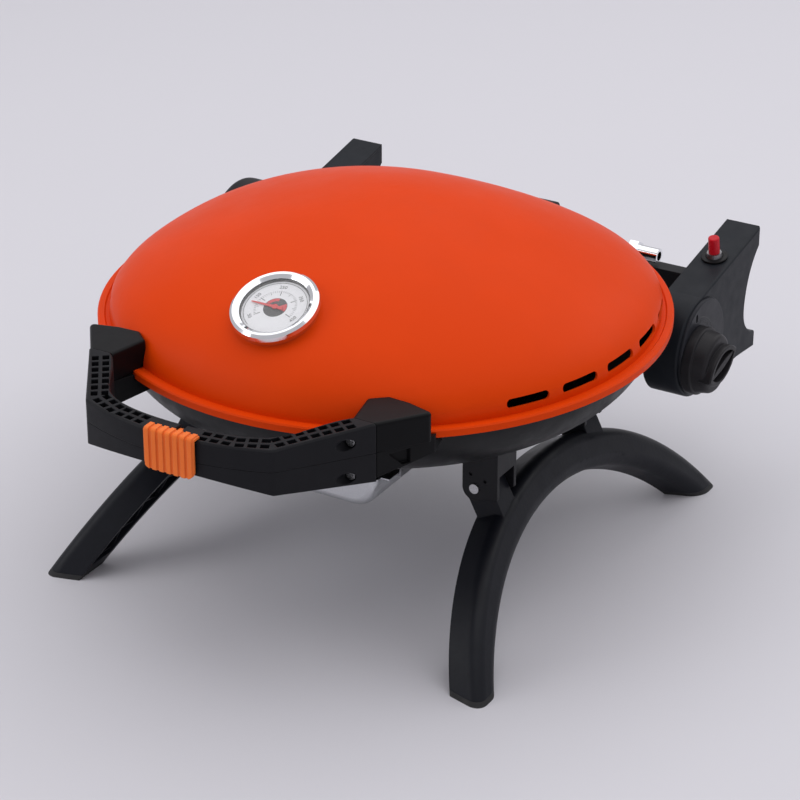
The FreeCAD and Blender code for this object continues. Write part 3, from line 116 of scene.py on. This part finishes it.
class Finish:
    """One procedural material: a Principled shader fed with noise in the object's own metres."""

    def __init__(self, name, colour, rough, metallic=0.0, shine=0.5):
        self.material = bpy.data.materials.new(name)
        self.material.use_nodes = True
        self.tree = self.material.node_tree
        self.shader = self.tree.nodes["Principled BSDF"]
        self.colour = (*colour, 1.0)
        self.shader.inputs["Base Color"].default_value = self.colour
        self.shader.inputs["Roughness"].default_value = rough
        self.shader.inputs["Metallic"].default_value = metallic
        self.shader.inputs["Specular IOR Level"].default_value = shine
        self.place = self.add("ShaderNodeTexCoord").outputs["Object"]
        self.rough = rough

    def add(self, kind, **settings):
        """A new shader node with its settings."""
        node = self.tree.nodes.new(kind)
        for key, value in settings.items():
            setattr(node, key, value)
        return node

    def link(self, source, target):
        self.tree.links.new(source, target)

    def stretched(self, factors):
        """The object's own coordinates, scaled along each axis, for brushed and drawn patterns."""
        mapping = self.add("ShaderNodeMapping")
        mapping.inputs["Scale"].default_value = factors
        self.link(self.place, mapping.inputs["Vector"])
        return mapping.outputs["Vector"]

    def noise(self, scale, detail, place=None):
        node = self.add("ShaderNodeTexNoise")
        node.inputs["Scale"].default_value = scale
        node.inputs["Detail"].default_value = detail
        node.inputs["Roughness"].default_value = 0.55
        self.link(place or self.place, node.inputs["Vector"])
        return node.outputs["Fac"]

    def ranged(self, value, low, high, out_low, out_high):
        """The value with low..high carried over to out_low..out_high, and held at the ends."""
        node = self.add("ShaderNodeMapRange")
        node.inputs["From Min"].default_value = low
        node.inputs["From Max"].default_value = high
        node.inputs["To Min"].default_value = out_low
        node.inputs["To Max"].default_value = out_high
        self.link(value, node.inputs["Value"])
        return node.outputs["Result"]

    def mixed(self, factor, first, second):
        """Mix of two colours; each is an output of a node or a plain colour."""
        node = self.add("ShaderNodeMix", data_type="RGBA")
        self.link(factor, node.inputs["Factor"])
        for slot, value in (("A", first), ("B", second)):
            socket = [s for s in node.inputs if s.name == slot and s.type == "RGBA"][0]
            if isinstance(value, bpy.types.NodeSocket):
                self.link(value, socket)
            else:
                socket.default_value = (*value[:3], 1.0)
        return [s for s in node.outputs if s.type == "RGBA"][0]

    def base(self):
        """What feeds the base colour now: a link's source, or the plain colour."""
        links = self.shader.inputs["Base Color"].links
        return links[0].from_socket if links else self.colour

    def mottle(self, other, scale, low=0.45, high=0.7, strength=1.0, detail=4.0,
               place=None):
        """Cloudy patches of another colour."""
        factor = self.ranged(self.noise(scale, detail, place=place), low, high, 0.0, strength)
        self.link(self.mixed(factor, self.base(), other), self.shader.inputs["Base Color"])

    def vary_roughness(self, spread, scale, place=None):
        """Noise moves the roughness by up to the spread, up and down."""
        noise = self.noise(scale, 4.0, place)
        value = self.ranged(noise, 0.3, 0.7, self.rough - spread, self.rough + spread)
        self.link(value, self.shader.inputs["Roughness"])

    def grain(self, scale, distance, place=None):
        """One more layer of relief, distance metres high, over the ones there are."""
        height = self.noise(scale, 2.0, place)
        node = self.add("ShaderNodeBump")
        node.inputs["Distance"].default_value = distance
        node.inputs["Strength"].default_value = 1.0
        links = self.shader.inputs["Normal"].links
        if links:
            self.link(links[0].from_socket, node.inputs["Normal"])
        self.link(height, node.inputs["Height"])
        self.link(node.outputs["Normal"], self.shader.inputs["Normal"])

    def soft_edges(self):
        """Shades sharp edges as if they were rounded."""
        rounded = self.add("ShaderNodeBevel", samples=EDGE_SAMPLES)
        rounded.inputs["Radius"].default_value = SOFT_EDGE
        self.link(rounded.outputs["Normal"], self.shader.inputs["Normal"])

    def edge_wear(self, colour, width, amount):
        """Rubbed edges: where a rounded normal leaves the surface's own, broken up by noise."""
        rounded = self.add("ShaderNodeBevel", samples=EDGE_SAMPLES)
        rounded.inputs["Radius"].default_value = width
        flat = self.add("ShaderNodeNewGeometry").outputs["Normal"]
        dot = self.add("ShaderNodeVectorMath", operation="DOT_PRODUCT")
        self.link(rounded.outputs["Normal"], dot.inputs[0])
        self.link(flat, dot.inputs[1])
        edge = self.ranged(dot.outputs["Value"], EDGE_START, EDGE_PEAK, 0.0, 1.0)
        patches = self.ranged(self.noise(WEAR_PATCH_SCALE, 5.0), 0.35, 0.65, 0.25, 1.0)
        both = self.add("ShaderNodeMath", operation="MULTIPLY")
        self.link(edge, both.inputs[0])
        self.link(patches, both.inputs[1])
        worn = self.ranged(both.outputs["Value"], 0.0, 1.0, 0.0, amount)
        self.link(self.mixed(worn, self.base(), colour), self.shader.inputs["Base Color"])


def toned(colour, factor):
    """The colour made lighter, or darker where the factor is below one."""
    return tuple(min(1.0, c * factor) for c in colour[:3])


def orange_paint():
    f = Finish("lid_paint_finish", ORANGE, 0.40, shine=0.06)
    f.mottle(toned(ORANGE, 1.10), 9.0, strength=0.5)
    f.mottle(toned(ORANGE, 0.86), 2600.0, 0.55, 0.75, 0.35, 1.0)
    f.vary_roughness(0.035, 30.0)
    f.grain(160.0, 0.00010)
    f.grain(1500.0, 0.00003)
    return f.material


def bowl_enamel():
    f = Finish("bowl_enamel_finish", (0.009, 0.009, 0.010), 0.42, shine=0.2)
    f.mottle((0.014, 0.014, 0.015), 40.0, strength=0.6)
    f.vary_roughness(0.08, 60.0)
    f.grain(900.0, 0.00005)
    f.grain(70.0, 0.0002)
    return f.material


def cast_iron():
    f = Finish("cast_iron_finish", IRON, 0.55)
    f.mottle((0.035, 0.030, 0.027), 60.0, strength=0.7)
    f.vary_roughness(0.12, 140.0)
    f.grain(1100.0, 0.00018)
    f.grain(300.0, 0.0002)
    return f.material


def brushed_steel(name, colour, rough):
    """Metal with fine lines along X and darker clouds over them."""
    f = Finish(name, colour, rough, metallic=1.0)
    lines = f.stretched(DRAWN_ALONG_X)
    f.mottle(toned(colour, 0.72), 60.0, 0.4, 0.7, 0.6, place=lines)
    f.vary_roughness(0.09, 45.0, place=lines)
    f.grain(120.0, 0.00004, place=lines)
    f.mottle(toned(colour, 0.55), 30.0, 0.55, 0.8, 0.4)
    return f.material


def chrome():
    f = Finish("chrome_finish", (0.83, 0.84, 0.86), 0.09, metallic=1.0)
    f.vary_roughness(0.035, 120.0)
    f.mottle((0.60, 0.61, 0.64), 400.0, 0.6, 0.8, 0.35)
    f.grain(60.0, 0.00006)
    return f.material


def brass():
    f = Finish("brass_finish", (0.60, 0.42, 0.16), 0.30, metallic=1.0)
    f.mottle((0.30, 0.19, 0.07), 160.0, 0.5, 0.75, 0.7)
    f.vary_roughness(0.10, 200.0)
    f.grain(900.0, 0.00004)
    return f.material


def ceramic():
    f = Finish("ceramic_finish", (0.72, 0.69, 0.62), 0.28)
    f.mottle((0.45, 0.40, 0.34), 180.0, 0.55, 0.8, 0.6)
    f.vary_roughness(0.08, 250.0)
    f.grain(700.0, 0.00005)
    return f.material


def moulded(name, colour, rough, grain_depth, worn=None, worn_amount=0.55, shine=0.16):
    """Injection-moulded plastic with a fine spark-eroded grain."""
    f = Finish(name, colour, rough, shine=shine)
    f.soft_edges()
    f.mottle(toned(colour, 1.35), 26.0, 0.45, 0.7, 0.5)
    f.mottle(toned(colour, 1.7), 2400.0, 0.58, 0.78, 0.45, 1.0)
    f.vary_roughness(0.05, 80.0)
    f.grain(1300.0, grain_depth)
    if worn is not None:
        f.edge_wear(worn, 0.0009, worn_amount)
    return f.material


def painted(name, colour, rough):
    """Baked paint on cast or pressed metal, with a soft orange peel."""
    f = Finish(name, colour, rough, shine=0.2)
    f.soft_edges()
    f.mottle(toned(colour, 1.4), 34.0, 0.45, 0.7, 0.5)
    f.vary_roughness(0.05, 50.0)
    f.grain(240.0, 0.00012)
    f.grain(1500.0, 0.00003)
    f.edge_wear(RUBBED, 0.0010, 0.4)
    return f.material


def rubber(name):
    f = Finish(name, (0.012, 0.012, 0.013), 0.72)
    f.mottle((0.030, 0.029, 0.028), 90.0, 0.5, 0.75, 0.6)
    f.vary_roughness(0.08, 160.0)
    f.grain(800.0, 0.00012)
    return f.material


def tray_aluminium():
    f = Finish("tray_metal_finish", (0.62, 0.63, 0.65), 0.34, metallic=1.0)
    lines = f.stretched(DRAWN_ALONG_Y)
    f.mottle((0.44, 0.45, 0.47), 40.0, 0.4, 0.7, 0.6, place=lines)
    f.vary_roughness(0.08, 30.0, place=lines)
    f.grain(90.0, 0.00005, place=lines)
    return f.material


def dial_print(name, colour, rough=0.45):
    """Smooth printed ink or enamel."""
    f = Finish(name, colour, rough)
    f.mottle(toned(colour, 0.93), 300.0, 0.4, 0.7, 0.6)
    f.vary_roughness(0.05, 300.0)
    f.grain(1800.0, 0.00001)
    return f.material


def clear_glass():
    """A thin pane: clear, with a faint reflection that varies with handling marks."""
    material = bpy.data.materials.new("glass_finish")
    material.use_nodes = True
    tree = material.node_tree
    tree.nodes.clear()
    out = tree.nodes.new("ShaderNodeOutputMaterial")
    mix = tree.nodes.new("ShaderNodeMixShader")
    clear = tree.nodes.new("ShaderNodeBsdfTransparent")
    gloss = tree.nodes.new("ShaderNodeBsdfGlossy")
    marks = tree.nodes.new("ShaderNodeMapRange")
    noise = tree.nodes.new("ShaderNodeTexNoise")
    bump = tree.nodes.new("ShaderNodeBump")
    place = tree.nodes.new("ShaderNodeTexCoord")
    gloss.inputs["Roughness"].default_value = 0.03
    marks.inputs["To Min"].default_value = 0.04
    marks.inputs["To Max"].default_value = 0.09
    noise.inputs["Scale"].default_value = 40.0
    bump.inputs["Distance"].default_value = 0.00005
    tree.links.new(place.outputs["Object"], noise.inputs["Vector"])
    tree.links.new(noise.outputs["Fac"], bump.inputs["Height"])
    tree.links.new(bump.outputs["Normal"], gloss.inputs["Normal"])
    tree.links.new(noise.outputs["Fac"], marks.inputs["Value"])
    tree.links.new(marks.outputs["Result"], mix.inputs["Fac"])
    tree.links.new(clear.outputs["BSDF"], mix.inputs[1])
    tree.links.new(gloss.outputs["BSDF"], mix.inputs[2])
    tree.links.new(mix.outputs["Shader"], out.inputs["Surface"])
    return material


FINISHES = {
    "lid_paint": orange_paint(),
    "bowl_enamel": bowl_enamel(),
    "cast_iron": cast_iron(),
    "steel": brushed_steel("steel_finish", STEEL, 0.32),
    "ceramic": ceramic(),
    "lead_rubber": rubber("lead_rubber_finish"),
    "brass": brass(),
    "chrome": chrome(),
    "arm_plastic": moulded("arm_plastic_finish", (0.010, 0.012, 0.016), 0.48, 0.00006, RUBBED),
    "pod_plastic": moulded("pod_plastic_finish", (0.015, 0.015, 0.017), 0.48, 0.00006, RUBBED),
    "plate_plastic": moulded("plate_plastic_finish", (0.018, 0.019, 0.024), 0.42, 0.00004,
                             RUBBED),
    "ring_plastic": moulded("ring_plastic_finish", SOOT, 0.35, 0.00003),
    "collar_metal": brushed_steel("collar_metal_finish", (0.25, 0.25, 0.26), 0.38),
    "brace_paint": painted("brace_paint_finish", (0.010, 0.010, 0.012), 0.45),
    "handle_plastic": moulded("handle_plastic_finish", (0.0065, 0.0065, 0.0085), 0.50, 0.00009,
                              RUBBED, worn_amount=0.35),
    "cap_plastic": moulded("cap_plastic_finish", (0.0042, 0.0042, 0.0048), 0.34, 0.00004,
                           RUBBED, worn_amount=0.1, shine=0.10),
    "hinge_paint": painted("hinge_paint_finish", (0.008, 0.008, 0.010), 0.40),
    "rail_steel": brushed_steel("rail_steel_finish", (0.30, 0.30, 0.31), 0.40),
    "dial": dial_print("dial_finish", (0.78, 0.78, 0.80)),
    "glass": clear_glass(),
    "needle_red": dial_print("needle_red_finish", (0.62, 0.012, 0.014), 0.35),
    "clip_plastic": moulded("clip_plastic_finish", ORANGE_CLIP, 0.40, 0.00005,
                            worn=(0.95, 0.40, 0.16), worn_amount=0.3),
    "leg_paint": painted("leg_paint_finish", (0.0060, 0.0068, 0.0105), 0.42),
    "rubber": rubber("rubber_finish"),
    "knob_plastic": moulded("knob_plastic_finish", (0.016, 0.015, 0.017), 0.42, 0.00005, RUBBED),
    "button_red": moulded("button_red_finish", (0.50, 0.010, 0.020), 0.28, 0.00002,
                          worn=(0.75, 0.10, 0.08), worn_amount=0.3),
    "tray_metal": tray_aluminium(),
}


def dress_nodes():
    """Gives every CAD node the procedural finish of its own material slot."""
    for node in NODES.values():
        for slot in node.material_slots:
            slot.material = FINISHES[slot.material.name.split(".")[0]]


dress_nodes()


# ---------------------------------------------------------------- thermometer face

def face_frame(node, up):
    """Centre of a disc's upper face and its right, up and outward directions."""
    mesh = NODES[node].data
    facing_up = (p for p in mesh.polygons if p.normal.z > 0.0)
    outward = max(facing_up, key=lambda p: p.area).normal.copy()
    reach = max(v.co.dot(outward) for v in mesh.vertices)
    low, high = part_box(node)
    centre = (low + high) / 2.0
    centre += outward * (reach - centre.dot(outward))
    upward = (up - outward * up.dot(outward)).normalized()
    return centre, upward.cross(outward), upward, outward


class FlatPrint:
    """Thin printed shapes, collected into one mesh that lies on a flat face.

    The thickness and the shapes' own sizes are in millimetres.
    """

    def __init__(self, centre, right, up, outward, thickness):
        self.mesh = bmesh.new()
        self.centre, self.right, self.up, self.outward = centre, right, up, outward
        self.thickness = thickness * MM

    def point(self, x, y, lift=0.0):
        """A point in the frame, from metres along the face and off it."""
        return self.centre + self.right * x + self.up * y + self.outward * lift

    def outline(self, points):
        """A closed prism over a flat outline given in the face's own millimetres."""
        low = [self.mesh.verts.new(self.point(x * MM, y * MM)) for x, y in points]
        high = [self.mesh.verts.new(self.point(x * MM, y * MM, self.thickness)) for x, y in points]
        self.mesh.faces.new(high)
        self.mesh.faces.new(list(reversed(low)))
        count = len(points)
        for i in range(count):
            j = (i + 1) % count
            self.mesh.faces.new((low[i], low[j], high[j], high[i]))

    def tick(self, angle, inner, outer, width):
        """A radial bar; the angle is in degrees clockwise from the top."""
        a = math.radians(angle)
        along = Vector((math.sin(a), math.cos(a)))
        across = Vector((math.cos(a), -math.sin(a))) * (width / 2.0)
        corners = (along * inner - across, along * inner + across,
                   along * outer + across, along * outer - across)
        self.outline([tuple(c) for c in corners])

    def arc(self, start, end, inner, outer, steps):
        """A ring's sector between two angles, or a disc's where the inner radius is nought."""
        angles = [math.radians(start + (end - start) * i / steps) for i in range(steps + 1)]
        points = [(outer * math.sin(a), outer * math.cos(a)) for a in angles]
        points += [(inner * math.sin(a), inner * math.cos(a)) for a in reversed(angles)]
        self.outline(points)

    def finish(self, name, material, body):
        """Makes the mesh a piece that rides on the body."""
        bmesh.ops.recalc_face_normals(self.mesh, faces=self.mesh.faces)
        data = bpy.data.meshes.new(name)
        self.mesh.to_mesh(data)
        self.mesh.free()
        piece = bpy.data.objects.new(name, data)
        bpy.context.scene.collection.objects.link(piece)
        data.materials.append(material)
        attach(piece, body)


def number_on(face, text, x, y, size, turn, name, material, body):
    """A generic number as thin raised type on a face."""
    curve = bpy.data.curves.new(name, "FONT")
    curve.body = text
    curve.size = size * MM
    curve.extrude = face.thickness / 2.0
    curve.align_x = "CENTER"
    curve.align_y = "CENTER"
    curve.resolution_u = 3
    text_object = bpy.data.objects.new(name, curve)
    bpy.context.scene.collection.objects.link(text_object)
    axes = Matrix((face.right, face.up, face.outward)).transposed().to_4x4()
    place = Matrix.Translation(face.point(x * MM, y * MM, face.thickness / 2.0))
    text_object.matrix_world = place @ axes @ Matrix.Rotation(math.radians(turn), 4, "Z")
    bpy.context.view_layer.update()
    evaluated = text_object.evaluated_get(bpy.context.evaluated_depsgraph_get())
    data = bpy.data.meshes.new_from_object(evaluated)
    data.transform(text_object.matrix_world)
    bpy.data.objects.remove(text_object)
    piece = bpy.data.objects.new(name, data)
    bpy.context.scene.collection.objects.link(piece)
    data.materials.clear()
    data.materials.append(material)
    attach(piece, body)


def thermometer_face():
    """The scale, the red bands and the numbers, which stay on the dial while the needle turns."""
    ink = dial_print("dial_ink_finish", (0.016, 0.016, 0.018))
    red = dial_print("dial_red_finish", (0.60, 0.02, 0.03))
    centre, right, up, outward = face_frame("thermo_dial", DIAL_UP)
    face = FlatPrint(centre, right, up, outward, DIAL_INK_THICKNESS)
    sweep = DIAL_END - DIAL_START
    steps = (len(DIAL_NUMBERS) - 1) * DIAL_STEPS_PER_NUMBER
    for i in range(steps + 1):
        if i % DIAL_STEPS_PER_NUMBER == 0:
            inner, width = DIAL_TICK_LONG
        elif i % (DIAL_STEPS_PER_NUMBER // 2) == 0:
            inner, width = DIAL_TICK_MIDDLE
        else:
            inner, width = DIAL_TICK_SHORT
        face.tick(DIAL_START + sweep * i / steps, inner, DIAL_TICK_OUT, width)
    face.arc(DIAL_START - DIAL_RIM_OVERRUN, DIAL_END + DIAL_RIM_OVERRUN, *DIAL_RIM_LINE,
             DIAL_RIM_STEPS)
    face.arc(0.0, 180.0, 0.0, DIAL_HUB_R, DIAL_HUB_STEPS)
    face.arc(180.0, 360.0, 0.0, DIAL_HUB_R, DIAL_HUB_STEPS)
    face.finish("dial_scale_print", ink, "lid")
    band = FlatPrint(centre + outward * DIAL_INK_THICKNESS * MM, right, up, outward,
                     DIAL_BAND_THICKNESS)
    for start, end, inner, outer in DIAL_BANDS:
        band.arc(start, end, inner, outer, DIAL_BAND_STEPS)
    band.finish("dial_band_print", red, "lid")
    for i, number in enumerate(DIAL_NUMBERS):
        angle = DIAL_START + sweep * i / (len(DIAL_NUMBERS) - 1)
        a = math.radians(angle)
        lean = -angle
        if abs(angle) >= UPRIGHT_LIMIT:
            lean += math.copysign(180.0, angle)
        number_on(face, str(number), DIAL_NUMBER_R * math.sin(a), DIAL_NUMBER_R * math.cos(a),
                  DIAL_NUMBER_SIZE, lean, f"dial_number_{number}", ink, "lid")


thermometer_face()


# ---------------------------------------------------------------- marks around the gas knob

def knob_marks():
    """An arc and ticks on the knob plate, round the knob's axis."""
    ink = dial_print("knob_mark_finish", (0.008, 0.008, 0.009))
    plate_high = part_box("knob_plate")[1]
    knob_low, knob_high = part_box("control_knob")
    centre = (knob_low + knob_high) / 2.0
    centre.x = plate_high.x
    face = FlatPrint(centre, Vector((0, 1, 0)), Vector((0, 0, 1)), Vector((1, 0, 0)),
                     KNOB_INK_THICKNESS)
    face.arc(*KNOB_ARC, KNOB_ARC_STEPS)
    for angle in KNOB_TICK_ANGLES:
        face.tick(angle, *KNOB_TICK)
    face.finish("knob_mark_print", ink, "base")


knob_marks()


# ---------------------------------------------------------------- studio

def disc_floor():
    mesh = bmesh.new()
    angles = [math.radians(360.0 * i / FLOOR_SIDES) for i in range(FLOOR_SIDES)]
    mesh.faces.new([
        mesh.verts.new((FLOOR_RADIUS * math.cos(a), FLOOR_RADIUS * math.sin(a), 0.0))
        for a in angles
    ])
    data = bpy.data.meshes.new("studio_floor")
    mesh.to_mesh(data)
    mesh.free()
    floor = bpy.data.objects.new("studio_floor", data)
    bpy.context.scene.collection.objects.link(floor)
    f = Finish("studio_floor_finish", FLOOR_COLOUR, 0.65)
    f.mottle(toned(FLOOR_COLOUR, 0.985), 1.5, strength=0.6)
    f.grain(500.0, 0.00002)
    data.materials.append(f.material)


def softbox(name, place, width, height, power):
    light = bpy.data.lights.new(name, "AREA")
    light.shape = "RECTANGLE"
    light.size, light.size_y = width, height
    light.energy = power
    holder = bpy.data.objects.new(name, light)
    holder.location = place
    aim = Vector(LIGHT_TARGET) - Vector(place)
    holder.rotation_euler = aim.to_track_quat("-Z", "Y").to_euler()
    bpy.context.scene.collection.objects.link(holder)


def studio():
    disc_floor()
    world = bpy.data.worlds.new("studio_air")
    bpy.context.scene.world = world
    world.use_nodes = True
    background = world.node_tree.nodes["Background"]
    background.inputs["Color"].default_value = (*SKY_COLOUR, 1.0)
    background.inputs["Strength"].default_value = SKY_STRENGTH
    for name, (place, width, height, power) in SOFTBOXES.items():
        softbox(name, place, width, height, power)
    bpy.context.scene.view_settings.view_transform = "Standard"


def photo_camera():
    data = bpy.data.cameras.new("camera")
    data.lens = CAMERA_LENS
    data.sensor_width = CAMERA_SENSOR
    camera = bpy.data.objects.new("camera", data)
    camera.location = CAMERA_PLACE
    camera.rotation_euler = (math.pi / 2.0 - CAMERA_ELEVATION, 0.0, CAMERA_AZIMUTH)
    bpy.context.scene.collection.objects.link(camera)
    bpy.context.scene.camera = camera


studio()
photo_camera()
